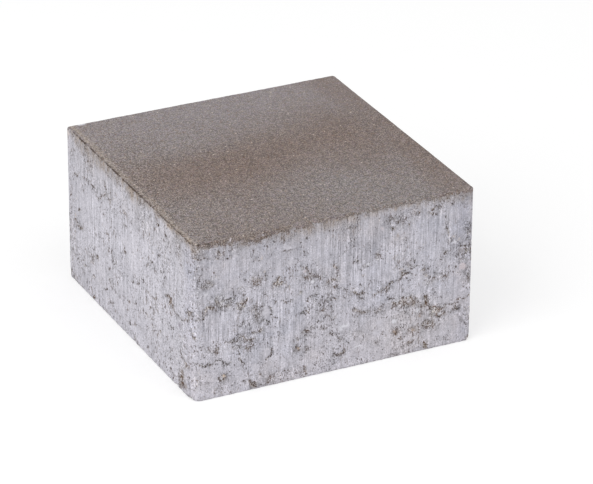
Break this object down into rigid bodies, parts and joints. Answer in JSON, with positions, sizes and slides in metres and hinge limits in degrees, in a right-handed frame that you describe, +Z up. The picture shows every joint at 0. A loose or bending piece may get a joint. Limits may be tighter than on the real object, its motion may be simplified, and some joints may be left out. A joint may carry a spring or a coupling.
{
  "type": "concrete paving stone",
  "caption": "Square pressed concrete paving block with flat upright joint faces, three tight upright corners and one blunter one, a slightly rounded wear-face arris and a near-sharp bed arris.",
  "frame": {"origin": "middle of the bed face, the face the stone lies on", "axes": "+Z up, from the bed face to the wear face; +X and +Y square to the joint faces, with the blunter upright corner at -X -Y. The plan is its own mirror image, so X and Y can be swapped"},
  "size_m": [0.144, 0.144, 0.08],
  "materials": {
    "concrete": "matte"
  },
  "bodies": {
    "root": {"paving_stone": "concrete"}
  },
  "joints": []
}
